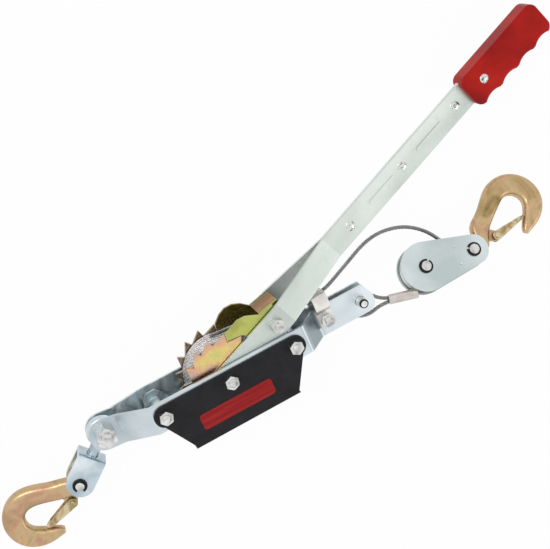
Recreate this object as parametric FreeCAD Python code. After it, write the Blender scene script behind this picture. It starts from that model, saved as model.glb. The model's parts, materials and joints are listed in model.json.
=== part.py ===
import FreeCAD, Part
import math
import os

V = FreeCAD.Vector

# ---------------------------------------------------------------------------
# Come-along winch, lying on its rear fasteners.
# Frame: +X along the side plates towards the pulley block, +Y towards the
# handle's side, +Z out of the front plate. Origin: drum axle at the resting plane.
# "h" is a height over the mid-plane between the two side plates.
# ---------------------------------------------------------------------------

# --- stack through the frame ---
wheel_thickness = 4.0
wheel_inner_h = 16.0  # half the space between the ratchet wheels
strap_thickness = 3.0
strap_gap = 1.0  # wheel to handle strap
plate_thickness = 3.0
plate_gap = 1.0  # handle strap to side plate
guard_thickness = 2.0
guard_bend_radius = 1.8
label_thickness = 0.3

# --- side plates ---
bolt_spacing = 72.5  # drum axle to each outer bolt
plate_width = 30.0
left_bend_start = 84.0
left_bend_end = 116.0
left_neck_inner_h = 8.0
end_bolt_x = 131.5
end_bolt_y = 5.0
neck_end_radius = 16.0
right_bend_start = 88.0
right_bend_end = 107.0
right_neck_inner_h = 4.5
right_neck_end = 171.5
right_corner_cut = 7.0
right_end_radius = 11.0
bracket_bolt_x = 116.7
bracket_bolt_y = 1.5
anchor_pin_x = 156.5
plate_bend_radius = 4.0

# --- fasteners: M8 and M12 with plain hexagons ---
m8_radius = 4.0
m8_flats = 13.0
m8_head = 5.3
m8_nut = 6.5
m8_stick_out = 2.2
spacer_wall = 2.0
bolt_bevel = 1.0
m12_radius = 6.0
m12_flats = 19.0
m12_head = 7.5
m12_nut = 10.8
m12_stick_out = 3.5
hole_clearance = 0.3  # radial, round a clamped bolt
running_clearance = 0.05  # radial, round a shaft that turns
soft_gap = 0.3  # between pieces that move past each other
seat_gap = 0.1  # between nested round pieces of one body

# --- guard and label ---
guard_corner_radius = 11.3
guard_drop = 47.5
guard_foot = 57.0
guard_ear = 1.6
guard_ear_height = 2.2
label_length = 80.0
label_width = 17.0
label_corner = 3.5
label_x = -3.5
label_y = -25.0

# --- drum ---
teeth = 16
tip_radius = 44.5
root_radius = 36.5
face_lean = 3.3  # degrees from a tooth's root to its tip along the driven face
sleeve_radius = 7.0
core_radius = 15.0
pile_radius = 38.5
cable_radius = 2.0
rivet_circle = 11.0
drum_rivet_radius = 2.0
drum_rivets_count = 4

# --- handle ---
handle_angle = 22.5  # one tooth pitch above the frame's axis
strap_width = 27.0
strap_offset = 1.0
strap_end_radius = 15.0
fork_bend_start = 86.0
fork_bend_end = 165.0
strap_length = 462.0
pawl_radius = 71.0  # drum axle to the drive pawl's pivot
handle_rivet_places = (193.7, 272.9, 353.3)
handle_rivet_radius = 5.3
handle_rivet_head = 1.6
rib_starts = (223.5, 295.0)
rib_length = 37.0
rib_width = 4.0
rib_height = 0.9
grip_overlap = 92.0  # of the straps' end inside the grip
grip_length = 110.0
grip_half_width = 18.0
grip_half_thickness = 12.0
grip_end_radius = 9.0
finger_count = 4
finger_pitch = 25.0
finger_inset = 18.7
finger_depth = 3.0
finger_half_width = 10.5
finger_crest = 20.3
grip_edge_round = 2.75
fastener_inset = 22.0
fastener_radius = 4.6
fastener_head = 1.4

# --- pawls ---
pawl_lead = 45.0  # degrees from a pawl's pivot to the tooth face it pushes
pawl_boss = 12.0
pawl_sheet = 3.0
pawl_web_start = (-3.5, 18.3)  # the web's ends, from the pivot
pawl_web_end = (19.0, 14.6)
pawl_crest = ((-8.0, 27.0), (-14.5, 33.6), (-22.5, 37.0), (-31.0, 36.6))  # from the pivot
front_crest_drop = 4.0  # the front cheek is lower than the rear one
nose_gap = 0.4
pawl_bolt_head = 3.0
pawl_bolt_rim = 2.5
holding_release = 11.0  # degrees that the holding pawl is stored out of mesh

# --- stop bracket ---
bracket_width = 16.0
bracket_sheet = 2.5
bracket_foot = 8.0
bracket_jog_start = 11.5
bracket_jog_end = 16.5
bracket_top = 31.0
bracket_half_span = 17.0
bracket_bend_radius = 2.5

# --- anchor pin and eye of the cable ---
anchor_pin_radius = 5.25
anchor_pin_top = 17.6
anchor_pin_head = 3.0
anchor_pin_head_radius = 7.5
anchor_stub_radius = 3.4
anchor_stub_length = 1.8
ring_thickness = 1.2
ring_inset = 0.6
ferrule_half_width = 5.2
ferrule_half_thickness = 3.6
ferrule_bevel = 0.7

ferrule_end = (185.4, -15.1, 4.5)  # it starts at the cable's end

# --- swivel and clevis ---
swivel_angle = 222.5  # direction of the stem in plan
swivel_droop = 9.5
clevis_roll = 7.1
eye_bar_radius = 5.2
eye_major = 11.9
stem_radius = 5.7
stem_neck_radius = 5.0  # beside the side plates' ends
stem_shoulder_gap = 1.5
stem_head_radius = 7.2
stem_head = 4.5
clevis_start = 27.0
clevis_web = 4.5
clevis_arm = 4.5
clevis_gap = 15.0
clevis_half_width = 14.2
clevis_pin_place = 58.2
clevis_nose = 12.8
stem_hole_gap = 0.5
clevis_bend_radius = 4.0
pin_radius = 5.2
pin_stick_out = 3.0
clevis_pin_end_radius = 4.4  # the pin is stepped down outside the clevis
pin_end_bevel = 0.5
clip_outer = 7.4
clip_thickness = 1.2
clevis_clip_gap = 30.0  # half the ring's gap, in degrees
block_clip_gap = 10.0

# --- hooks ---
hook_half_thickness = 7.0
hook_eye_radius = 13.0
hook_eye_half_thickness = 6.7
hook_eye_round = 1.2
bowl_radius = 23.8
bowl_half_width = 11.1
load_bowl = (61.2, 30.5)
anchor_bowl = (53.5, 23.0)
load_latch_pivot = (-28.6, -24.2)  # from the bowl's centre
anchor_latch_pivot = (-29.3, -25.4)
latch_tip = (7.4, -15.1)
latch_lug_radius = 5.0
latch_lug_half_thickness = 2.2
latch_sheet = 1.6
latch_half_width = 5.6
tongue_place = 1.2
spring_leg = 15.0
latch_pin_radius = 2.0
latch_wire = 0.35
latch_wall_end = 6.0  # from the latch's tip to the round end of its side walls
latch_wall_tip = 2.2
latch_tip_round = 3.5
latch_pin_head = 0.9
shank_bow = 3.2  # how far the shank stands out from a straight line

# --- pulley block ---
block_x = 233.1
block_y = -4.3
block_h = 1.0
block_angle = -9.2
block_roll = 28.0
block_plate = 3.0
block_gap = 15.0
block_big_radius = 26.0
block_small_radius = 16.0
block_length = 55.2
sheave_radius = 24.0
sheave_half_width = 6.0
sheave_groove_radius = 21.2
sheave_groove_round = 4.5
dimple_radius = 2.2
dimple_depth = 0.7
dimple_place = 36.4  # along the block from the sheave's pin
dimple_side = 9.5

# --- cutting solids ---
past = 1.0  # how far a cut passes the face it goes through
far = 700.0  # beyond every piece

# --- worked out from the values above ---
grip_start = strap_length - grip_overlap
grip_end = grip_start + grip_length
fastener_place = grip_start + fastener_inset
strap_inner_h = wheel_inner_h + wheel_thickness + strap_gap
strap_outer_h = strap_inner_h + strap_thickness
plate_inner_h = strap_outer_h + plate_gap
plate_outer_h = plate_inner_h + plate_thickness
guard_outer_h = plate_outer_h + guard_thickness
mid_z = guard_outer_h + m8_head
pitch = 360.0 / teeth
block_outer_h = block_gap / 2 + block_plate
clevis_outer_h = clevis_gap / 2 + clevis_arm

os.makedirs("parts", exist_ok=True)
nodes = []


# ---------------------------------------------------------------------------
# helpers
# ---------------------------------------------------------------------------
def save(name, shapes):
    """Writes one node from a solid or from a list of separate solids."""
    if isinstance(shapes, (list, tuple)):
        shape = shapes[0] if len(shapes) == 1 else Part.makeCompound(list(shapes))
    else:
        shape = shapes
    if not shape.isValid():
        print("not valid:", name)
    shape.exportStep("parts/" + name + ".step")
    nodes.append(name)


class Frame:
    """A local frame: x and z directions at an origin."""

    def __init__(self, origin, x_dir, z_dir):
        self.o = V(*origin)
        self.x = V(*x_dir).normalize()
        z = V(*z_dir)
        self.z = (z - self.x * z.dot(self.x)).normalize()
        self.y = self.z.cross(self.x)

    def at(self, x, y, z=0.0):
        return self.o + self.x * x + self.y * y + self.z * z

    def put(self, shape):
        m = FreeCAD.Matrix(
            self.x.x, self.y.x, self.z.x, self.o.x,
            self.x.y, self.y.y, self.z.y, self.o.y,
            self.x.z, self.y.z, self.z.z, self.o.z,
            0, 0, 0, 1,
        )
        placed = shape.copy()
        placed.Placement = FreeCAD.Placement(m).multiply(placed.Placement)
        return placed

    def tell(self, name, point, axis):
        p = self.at(*point)
        a = self.x * axis[0] + self.y * axis[1] + self.z * axis[2]
        told = [p.x, p.y, p.z, a.x, a.y, a.z]
        print("axis", name, " ".join("%.6f" % value for value in told))


def polar(radius, degrees, centre=(0.0, 0.0)):
    a = math.radians(degrees)
    return centre[0] + radius * math.cos(a), centre[1] + radius * math.sin(a)


def cylinder(x, y, low, high, radius):
    return Part.makeCylinder(radius, high - low, V(x, y, low))


def tube(x, y, low, high, outer, inner):
    return cylinder(x, y, low, high, outer).cut(cylinder(x, y, low - past, high + past, inner))


def prism(points, low, high):
    """Straight-sided outline, extruded from low to high."""
    ring = [V(x, y, low) for x, y in points]
    face = Part.Face(Part.makePolygon(ring + [ring[0]]))
    return face.extrude(V(0, 0, high - low))


def hexagon(x, y, low, high, flats, turn=0.0):
    corner = flats / math.sqrt(3)
    body = prism([polar(corner, turn + 60 * i, (x, y)) for i in range(6)], low, high)
    bevel = corner - flats / 2 * 0.98
    cone = Part.makeCone(
        corner + (high - low), flats / 2 * 0.98, high - low + bevel * 0.6, V(x, y, low)
    )
    return body.common(cone)


def fused(shapes):
    whole = shapes[0]
    if len(shapes) > 1:
        whole = whole.fuse(list(shapes[1:]))
    return whole.removeSplitter()


def link(p, q, r_p, r_q, low, high):
    """The outline round two circles, extruded."""
    d = math.hypot(q[0] - p[0], q[1] - p[1])
    along = math.atan2(q[1] - p[1], q[0] - p[0])
    lean = math.acos((r_p - r_q) / d)
    sides = []
    for sign in (1, -1):
        a = math.degrees(along + sign * lean)
        sides.append((polar(r_p, a, p), polar(r_q, a, q)))
    web = prism([sides[0][0], sides[0][1], sides[1][1], sides[1][0]], low, high)
    ends = [cylinder(p[0], p[1], low, high, r_p), cylinder(q[0], q[1], low, high, r_q)]
    return fused([web] + ends)


def offset_left(points, distance):
    """The polyline moved to its left by a distance, with mitred corners."""
    moved = []
    for i, p in enumerate(points):
        before = points[i - 1] if i else None
        after = points[i + 1] if i + 1 < len(points) else None
        normals = []
        for a, b in ((before, p), (p, after)):
            if a is not None and b is not None:
                length = math.hypot(b[0] - a[0], b[1] - a[1])
                normals.append((-(b[1] - a[1]) / length, (b[0] - a[0]) / length))
        nx = sum(n[0] for n in normals)
        ny = sum(n[1] for n in normals)
        scale = distance * len(normals) / (nx * nx + ny * ny)
        moved.append((p[0] + nx * scale, p[1] + ny * scale))
    return moved


def rounded_uprights(shape, radius, keep=lambda p: True):
    """Rounds the straight edges that run along local Z."""
    edges = []
    for edge in shape.Edges:
        if isinstance(edge.Curve, Part.Line) and len(edge.Vertexes) == 2:
            a, b = [v.Point for v in edge.Vertexes]
            upright = abs(a.x - b.x) < 1e-6 and abs(a.y - b.y) < 1e-6
            if upright and keep(a):
                edges.append(edge)
    return shape.makeFillet(radius, edges) if edges else shape


def bent_sheet(points, thickness, low, high, radius):
    """A sheet along a polyline in local XY, bent with a radius, as wide as low to high."""
    other = offset_left(points, thickness)
    sheet = prism(list(points) + other[::-1], low, high)
    inner_corners = points[1:-1] + other[1:-1]

    def is_bend(p):
        return any(math.hypot(p.x - x, p.y - y) < 1e-4 for x, y in inner_corners)

    return rounded_uprights(sheet, radius, is_bend)


def stand(shape):
    """Turns local XY into X and Z: what was Y points up, what was Z points to -Y."""
    turned = shape.copy()
    turned.rotate(V(0, 0, 0), V(1, 0, 0), 90)
    return turned


def mirrored(shape):
    """The same piece on the other side of the mid-plane."""
    return shape.mirror(V(0, 0, 0), V(0, 0, 1))


def wire_of_arcs(points):
    """Straight runs joined by tangent arcs; the arcs' radii are printed."""
    pts = [V(*p) for p in points]
    edges = []
    radii = []
    start = pts[0]
    for i in range(1, len(pts) - 1):
        a, b, c = pts[i - 1], pts[i], pts[i + 1]
        u = (a - b).normalize()
        w = (c - b).normalize()
        turn = math.pi - u.getAngle(w)
        short = min((a - b).Length, (c - b).Length)
        reach = 0.45 * short
        radii.append(reach / math.tan(turn / 2))
        first, last = b + u * reach, b + w * reach
        middle = (u + w).normalize()
        radius = radii[-1]
        centre = b + middle * (radius / math.cos(turn / 2))
        halfway = centre - middle * radius
        edges.append(Part.LineSegment(start, first).toShape())
        edges.append(Part.Arc(first, halfway, last).toShape())
        start = last
    edges.append(Part.LineSegment(start, pts[-1]).toShape())
    return Part.Wire(edges), radii


def round_tube(name, points, radius):
    path, radii = wire_of_arcs(points)
    first = V(*points[0])
    direction = V(*points[1]) - first
    profile = Part.Wire(Part.makeCircle(radius, first, direction))
    solid = path.makePipeShell([profile], True, False)
    if solid.Volume < 0:
        solid.reverse()
    share = solid.Volume / (math.pi * radius * radius * path.Length)
    text = " ".join("%.1f" % r for r in radii)
    print("cord", name, "length %.1f" % path.Length, "volume share %.4f" % share, "radii", text)
    return solid


world = Frame((0, 0, mid_z), (1, 0, 0), (0, 0, 1))


def bolt_in_world(x, y, head_h, nut_h, radius, flats, head, nut, stick_out, turn=0.0):
    """A bolt with its head at the back and its nut in front: (bolt, nut)."""
    end = nut_h + nut + stick_out
    shank = cylinder(x, y, head_h - head / 2, end, radius)
    shank = shank.cut(
        cylinder(x, y, end - bolt_bevel, end + past, radius + past).cut(
            Part.makeCone(radius, radius - bolt_bevel, bolt_bevel, V(x, y, end - bolt_bevel))
        )
    )
    back = hexagon(x, y, 0, head, flats, turn)
    back = mirrored(back)
    back.translate(V(0, 0, head_h))
    bolt = fused([shank, back])
    nut_shape = hexagon(x, y, nut_h, nut_h + nut, flats, turn)
    nut_shape = nut_shape.cut(cylinder(x, y, nut_h - past, nut_h + nut + past, radius))
    return bolt, nut_shape


# ---------------------------------------------------------------------------
# side plates, guard, label and the bolts through them
# ---------------------------------------------------------------------------
def plate_outline():
    """The side plate seen from the front, taller than any plate."""
    half = plate_width / 2
    low, high = -past, plate_outer_h + past
    nose = (end_bolt_x * -1, end_bolt_y)
    left = link(nose, (-left_bend_start, 0), neck_end_radius, half, low, high)
    body = prism(
        [
            (-left_bend_start, -half),
            (right_bend_end, -half),
            (right_bend_end, half),
            (-left_bend_start, half),
        ],
        low, high,
    )
    end = right_neck_end
    cut = right_corner_cut
    neck = prism(
        [
            (right_bend_end, -half),
            (end - right_end_radius, -half),
            (end, -half + right_end_radius),
            (end, half - 2 * cut),
            (end - cut, half),
            (right_bend_end, half),
        ],
        low, high,
    )
    round_end = cylinder(end - right_end_radius, -half + right_end_radius, low, high, right_end_radius)
    return fused([left, body, neck, round_end])


def side_plate():
    """The front one: a strap whose ends are bent inwards to the two necks."""
    left_out = left_neck_inner_h + plate_thickness
    right_out = right_neck_inner_h + plate_thickness
    reach = 40.0
    profile = [
        (-left_bend_end - reach, left_out),
        (-left_bend_end, left_out),
        (-left_bend_start, plate_outer_h),
        (right_bend_start, plate_outer_h),
        (right_bend_end, right_out),
        (right_neck_end + reach, right_out),
    ]
    strip = bent_sheet(profile[::-1], plate_thickness, -far, far, plate_bend_radius)
    plate = stand(strip).common(plate_outline())
    holes = [(x, 0, m8_radius + hole_clearance) for x in (-bolt_spacing, 0, bolt_spacing)]
    holes.append((bracket_bolt_x, bracket_bolt_y, m8_radius + hole_clearance))
    holes.append((-end_bolt_x, end_bolt_y, m12_radius + hole_clearance))
    holes.append((anchor_pin_x, 0, anchor_pin_radius + hole_clearance))
    for x, y, radius in holes:
        plate = plate.cut(cylinder(x, y, -past, plate_outer_h + past, radius))
    return plate


def guard_outline(low, high):
    """Rounded about the outer bolts, with a straight foot and two small ears."""
    r = guard_corner_radius
    left, right = (-bolt_spacing, 0), (bolt_spacing, 0)
    top = link(left, right, r, r, low, high)
    drop_angle = math.atan2(guard_drop, bolt_spacing - guard_foot)
    side = math.degrees(math.pi - drop_angle)
    hip = polar(r, 180 + (90 - side) * 0.35, left)
    foot = -guard_drop
    ears = guard_foot + guard_ear
    ear_top = foot + guard_ear_height
    lower = prism(
        [
            hip,
            (-guard_foot - 0.4, ear_top),
            (-ears, ear_top - 0.6),
            (-ears, foot),
            (ears, foot),
            (ears, ear_top - 0.6),
            (guard_foot + 0.4, ear_top),
            (-hip[0], hip[1]),
            (bolt_spacing, 0),
            (-bolt_spacing, 0),
        ],
        low, high,
    )
    return fused([top, lower])


def guard():
    """One black sheet folded under the drum, with a flange on each side plate."""
    half = plate_outer_h + guard_thickness
    bottom = -guard_drop
    channel = [
        (half, guard_corner_radius + 5),
        (half, bottom),
        (-half, bottom),
        (-half, guard_corner_radius + 5),
    ]
    sheet = bent_sheet(channel[::-1], guard_thickness, -far, far, guard_bend_radius)
    # local X is h and local Y is world Y: turn so that the sheet's width lies along X
    sheet.rotate(V(0, 0, 0), V(0, 1, 0), -90)
    piece = sheet.common(guard_outline(-half - past, half + past))
    for x in (-bolt_spacing, 0, bolt_spacing):
        piece = piece.cut(cylinder(x, 0, -half - past, half + past, m8_radius + hole_clearance))
    return piece


def label():
    half_l, half_w = label_length / 2, label_width / 2
    plate = prism(
        [(-half_l, -half_w), (half_l, -half_w), (half_l, half_w), (-half_l, half_w)],
        guard_outer_h, guard_outer_h + label_thickness,
    )
    plate = rounded_uprights(plate, label_corner)
    plate.translate(V(label_x, label_y, 0))
    return plate


save("front_side_plate", world.put(side_plate()))
save("rear_side_plate", world.put(mirrored(side_plate())))
save("drum_guard", world.put(guard()))
save("label_plate", world.put(label()))

frame_bolts, frame_nuts = [], []
for n, x in enumerate((-bolt_spacing, 0, bolt_spacing)):
    bolt, nut = bolt_in_world(
        x, 0, -guard_outer_h, guard_outer_h, m8_radius, m8_flats, m8_head, m8_nut, m8_stick_out, 12 + 9 * n
    )
    frame_bolts.append(world.put(bolt))
    frame_nuts.append(world.put(nut))
save("frame_bolts", frame_bolts)
save("frame_nuts", frame_nuts)
save(
    "frame_spacers",
    [
        world.put(tube(x, 0, -plate_inner_h, plate_inner_h, m8_radius + spacer_wall, m8_radius + seat_gap))
        for x in (-bolt_spacing, bolt_spacing)
    ],
)
save(
    "drum_axle_sleeve",
    world.put(tube(0, 0, -plate_inner_h, plate_inner_h, sleeve_radius, m8_radius + seat_gap)),
)

neck_outer_h = left_neck_inner_h + plate_thickness
end_bolt, end_nut = bolt_in_world(
    -end_bolt_x, end_bolt_y, -neck_outer_h, neck_outer_h,
    m12_radius, m12_flats, m12_head, m12_nut, m12_stick_out, 20,
)
save("end_bolt", world.put(end_bolt))
save("end_nut", world.put(end_nut))


# ---------------------------------------------------------------------------
# stop bracket on the right neck, and the cable's anchor pin
# ---------------------------------------------------------------------------
right_outer_h = right_neck_inner_h + plate_thickness


def stop_bracket():
    """A strip over the neck: the handle rests on it and the cable runs under it."""
    inner = right_outer_h
    foot = bracket_bolt_y - bracket_foot
    side = [
        (foot, inner),
        (bracket_jog_start, inner),
        (bracket_jog_end, bracket_half_span - bracket_sheet),
        (bracket_top - bracket_sheet, bracket_half_span - bracket_sheet),
    ]
    path = side + [(y, -h) for y, h in side[::-1]]
    sheet = bent_sheet(path, bracket_sheet, -bracket_width / 2, bracket_width / 2, bracket_bend_radius)
    # local X is world Y, local Y is h, local Z is world X
    sheet = Frame((bracket_bolt_x, 0, 0), (0, 1, 0), (1, 0, 0)).put(sheet)
    reach = bracket_half_span + 2
    hole = cylinder(bracket_bolt_x, bracket_bolt_y, -reach, reach, m8_radius + hole_clearance)
    return sheet.cut(hole)


save("stop_bracket", world.put(stop_bracket()))
bracket_outer_h = right_outer_h + bracket_sheet
bracket_bolt, bracket_nut = bolt_in_world(
    bracket_bolt_x, bracket_bolt_y, -bracket_outer_h, bracket_outer_h,
    m8_radius, m8_flats, m8_head, m8_nut, m8_stick_out, 5,
)
save("bracket_bolt", world.put(bracket_bolt))
save("bracket_nut", world.put(bracket_nut))
save(
    "bracket_spacer",
    world.put(
        tube(
            bracket_bolt_x, bracket_bolt_y, -right_neck_inner_h, right_neck_inner_h,
            m8_radius + spacer_wall, m8_radius + seat_gap,
        )
    ),
)


def anchor_pin():
    x = anchor_pin_x
    top = anchor_pin_top
    back = -right_outer_h
    body = cylinder(x, 0, back, top, anchor_pin_radius)
    head = cylinder(x, 0, back - anchor_pin_head, back, anchor_pin_head_radius)
    stub = cylinder(x, 0, top, top + anchor_stub_length, anchor_stub_radius)
    return fused([body, head, stub])


save("anchor_pin", world.put(anchor_pin()))
save(
    "anchor_pin_ring",
    world.put(
        tube(
            anchor_pin_x, 0, anchor_pin_top, anchor_pin_top + ring_thickness,
            anchor_pin_radius - ring_inset, anchor_stub_radius + seat_gap,
        )
    ),
)


# ---------------------------------------------------------------------------
# drum
# ---------------------------------------------------------------------------
def ratchet_wheel(low):
    """Each tooth has a nearly radial driven face and a long back."""
    outline = []
    for i in range(teeth):
        outline.append(polar(root_radius, i * pitch))
        outline.append(polar(tip_radius, i * pitch + face_lean))
    wheel = prism(outline, low, low + wheel_thickness)
    holes = [(0, 0, sleeve_radius + running_clearance)]
    for i in range(drum_rivets_count):
        holes.append(polar(rivet_circle, 45 + i * 360 / drum_rivets_count) + (drum_rivet_radius + seat_gap,))
    for x, y, radius in holes:
        wheel = wheel.cut(cylinder(x, y, low - past, low + wheel_thickness + past, radius))
    return wheel


front_wheel = ratchet_wheel(wheel_inner_h)
rear_wheel = front_wheel.copy()
rear_wheel.translate(V(0, 0, -2 * wheel_inner_h - wheel_thickness))
save("front_ratchet_wheel", world.put(front_wheel))
save("rear_ratchet_wheel", world.put(rear_wheel))

core = tube(0, 0, -wheel_inner_h, wheel_inner_h, core_radius, sleeve_radius + running_clearance)
drum_rivets = []
wheel_outer_h = wheel_inner_h + wheel_thickness
rivet_head_height = strap_gap - soft_gap
for i in range(drum_rivets_count):
    x, y = polar(rivet_circle, 45 + i * 360 / drum_rivets_count)
    core = core.cut(cylinder(x, y, -far, far, drum_rivet_radius + seat_gap))
    shank = cylinder(x, y, -wheel_outer_h, wheel_outer_h, drum_rivet_radius)
    heads = [
        cylinder(x, y, wheel_outer_h, wheel_outer_h + rivet_head_height, drum_rivet_radius * 1.6),
        cylinder(x, y, -wheel_outer_h - rivet_head_height, -wheel_outer_h, drum_rivet_radius * 1.6),
    ]
    drum_rivets.append(world.put(fused([shank] + heads)))
save("drum_core", world.put(core))
save("drum_rivets", drum_rivets)
save(
    "cable_on_drum",
    world.put(
        tube(0, 0, -wheel_inner_h + soft_gap, wheel_inner_h - soft_gap, pile_radius, core_radius + seat_gap)
    ),
)


# ---------------------------------------------------------------------------
# handle: local X runs along it from the drum axle, local Y is its upper side
# ---------------------------------------------------------------------------
handle = Frame((0, 0, mid_z), polar(1, handle_angle) + (0,), (0, 0, 1))


def handle_strap():
    """The front half of the fork and shaft."""
    profile = [
        (-far, strap_outer_h),
        (fork_bend_start, strap_outer_h),
        (fork_bend_end, strap_thickness),
        (strap_length, strap_thickness),
    ]
    sheet = bent_sheet(profile[::-1], strap_thickness, -far, far, plate_bend_radius)
    low, high = -past, strap_outer_h + past
    half = strap_width / 2
    outline = link((0, 0), (fork_bend_start, strap_offset), strap_end_radius, half, low, high)
    shaft = prism(
        [
            (fork_bend_start, strap_offset - half),
            (strap_length, strap_offset - half),
            (strap_length, strap_offset + half),
            (fork_bend_start, strap_offset + half),
        ],
        low, high,
    )
    strap = stand(sheet).common(fused([outline, shaft]))
    holes = [(0, 0, sleeve_radius + running_clearance), (pawl_radius, 0, m8_radius + hole_clearance)]
    holes += [(x, strap_offset, drum_rivet_radius + seat_gap) for x in handle_rivet_places]
    holes.append((fastener_place, strap_offset, drum_rivet_radius + seat_gap))
    for x, y, radius in holes:
        strap = strap.cut(cylinder(x, y, low, high, radius))
    for x in rib_starts:
        rib = link(
            (x + rib_width / 2, strap_offset), (x + rib_length - rib_width / 2, strap_offset),
            rib_width / 2, rib_width / 2 - 1e-6, strap_thickness, strap_thickness + rib_height,
        )
        strap = strap.fuse(rib)
    return strap.removeSplitter()


save("front_handle_strap", handle.put(handle_strap()))
save("rear_handle_strap", handle.put(mirrored(handle_strap())))


def low_rivet(x, y, half, radius, head, height):
    """A rivet through the handle with a low domed head on each side."""
    shank = cylinder(x, y, -half, half, radius)
    crown = (head * head + height * height) / (2 * height)
    shapes = [shank]
    for sign in (1, -1):
        ball = Part.makeSphere(crown, V(x, y, sign * (half + height - crown)))
        span = (half, half + height) if sign > 0 else (-half - height, -half)
        shapes.append(ball.common(cylinder(x, y, span[0], span[1], head)))
    return fused(shapes)


save(
    "handle_rivets",
    [
        handle.put(
            low_rivet(
                x, strap_offset, strap_thickness, drum_rivet_radius, handle_rivet_radius, handle_rivet_head
            )
        )
        for x in handle_rivet_places
    ],
)


def grip():
    """A sleeve over the strap's end with four finger grooves on its lower side."""
    half_t, half_w = grip_half_thickness, grip_half_width
    body = prism(
        [
            (grip_start, -finger_crest + strap_offset),
            (grip_end, -finger_crest + strap_offset),
            (grip_end, half_w),
            (grip_start, half_w),
        ],
        -half_t, half_t,
    )
    body = rounded_uprights(body, grip_end_radius)
    scoop = (finger_half_width ** 2 + finger_depth ** 2) / (2 * finger_depth)
    edge = -finger_crest + strap_offset
    for i in range(finger_count):
        x = grip_start + finger_inset + i * finger_pitch
        body = body.cut(cylinder(x, edge - scoop + finger_depth, -half_t - past, half_t + past, scoop))
    rims = [e for e in body.Edges if abs(abs(e.CenterOfMass.z) - half_t) < 1e-6]
    body = body.makeFillet(grip_edge_round, rims)
    slot_half = strap_width / 2 + seat_gap
    slot_h = strap_thickness + seat_gap
    slot = Part.makeBox(
        strap_length + seat_gap - grip_start + past, 2 * slot_half, 2 * slot_h,
        V(grip_start - past, strap_offset - slot_half, -slot_h),
    )
    body = body.cut(slot)
    return body.cut(cylinder(fastener_place, strap_offset, -far, far, drum_rivet_radius + seat_gap))


save("grip", handle.put(grip()))
save(
    "grip_fastener",
    handle.put(
        low_rivet(
            fastener_place, strap_offset, grip_half_thickness,
            drum_rivet_radius, fastener_radius, fastener_head,
        )
    ),
)


# ---------------------------------------------------------------------------
# pawls: both use one outline, with the drum at the origin and the pivot on +X
# ---------------------------------------------------------------------------
def pawl_side(pivot, low, high, crest_drop):
    """One cheek of a pawl, whose nose stands in the tooth gap at pawl_lead degrees."""
    root = polar(root_radius, pawl_lead)
    tip = polar(tip_radius, pawl_lead + face_lean)
    length = math.hypot(tip[0] - root[0], tip[1] - root[1])
    ux, uy = (tip[0] - root[0]) / length, (tip[1] - root[1]) / length

    def by_face(along, away):
        return root[0] + ux * along + uy * away, root[1] + uy * along - ux * away

    next_tip = polar(tip_radius + nose_gap, pawl_lead + face_lean - pitch)
    nose_low = by_face(1.5, nose_gap)
    nose_high = by_face(8.6, nose_gap * 2.2)
    boss = pawl_boss
    outline = [
        nose_low,
        next_tip,
        (pivot - boss * 0.9, -boss * 0.45),
        (pivot - boss * 0.2, -boss * 0.97),
        (pivot + boss * 0.6, -boss * 0.8),
        (pivot + 11.0, -3.0),
        (pivot + 12.0, 15.75),
        (pivot + pawl_web_start[0], pawl_web_start[1]),
    ]
    outline += [(pivot + x, y - crest_drop) for x, y in pawl_crest]
    return prism(outline + [nose_high], low, high)


def pawl(pivot, bore):
    """Two cheeks in the planes of the ratchet wheels, joined by a web over the top."""
    low, high = wheel_inner_h + soft_gap, wheel_inner_h + wheel_thickness - soft_gap
    front = pawl_side(pivot, low, high, front_crest_drop)
    rear = mirrored(pawl_side(pivot, low, high, 0.0))
    top = [(pivot + x, y) for x, y in (pawl_web_end, pawl_web_start)]
    web = prism(top + offset_left(top, pawl_sheet)[::-1], -low, low)
    whole = fused([front, rear, web])
    return whole.cut(cylinder(pivot, 0, -far, far, bore))


drive_pawl = pawl(pawl_radius, m8_radius + running_clearance)
save("drive_pawl", handle.put(drive_pawl))

pawl_bolts, pawl_nuts = [], []
for sign in (1, -1):
    inner = wheel_inner_h
    head_low = inner - pawl_bolt_head
    end = strap_outer_h + m8_nut + m8_stick_out
    bolt = fused(
        [
            cylinder(pawl_radius, 0, head_low, end, m8_radius),
            cylinder(pawl_radius, 0, head_low, inner, m8_radius + pawl_bolt_rim),
        ]
    )
    nut = hexagon(pawl_radius, 0, strap_outer_h, strap_outer_h + m8_nut, m8_flats, 8)
    nut = nut.cut(cylinder(pawl_radius, 0, strap_outer_h - past, end, m8_radius))
    if sign < 0:
        bolt, nut = mirrored(bolt), mirrored(nut)
    pawl_bolts.append(handle.put(bolt))
    pawl_nuts.append(handle.put(nut))
save("pawl_bolts", pawl_bolts)
save("pawl_nuts", pawl_nuts)
handle.tell("drive_pawl", (pawl_radius, 0, 0), (0, 0, -1))

# the holding pawl turns on the left spacer and is stored lifted out of the teeth
backward = Frame((0, 0, mid_z), (-1, 0, 0), (0, 0, 1))
holding_pawl = pawl(bolt_spacing, m8_radius + spacer_wall + running_clearance)
holding_pawl.rotate(V(bolt_spacing, 0, 0), V(0, 0, 1), -holding_release)
save("holding_pawl", backward.put(holding_pawl))
backward.tell("holding_pawl", (bolt_spacing, 0, 0), (0, 0, 1))


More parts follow.
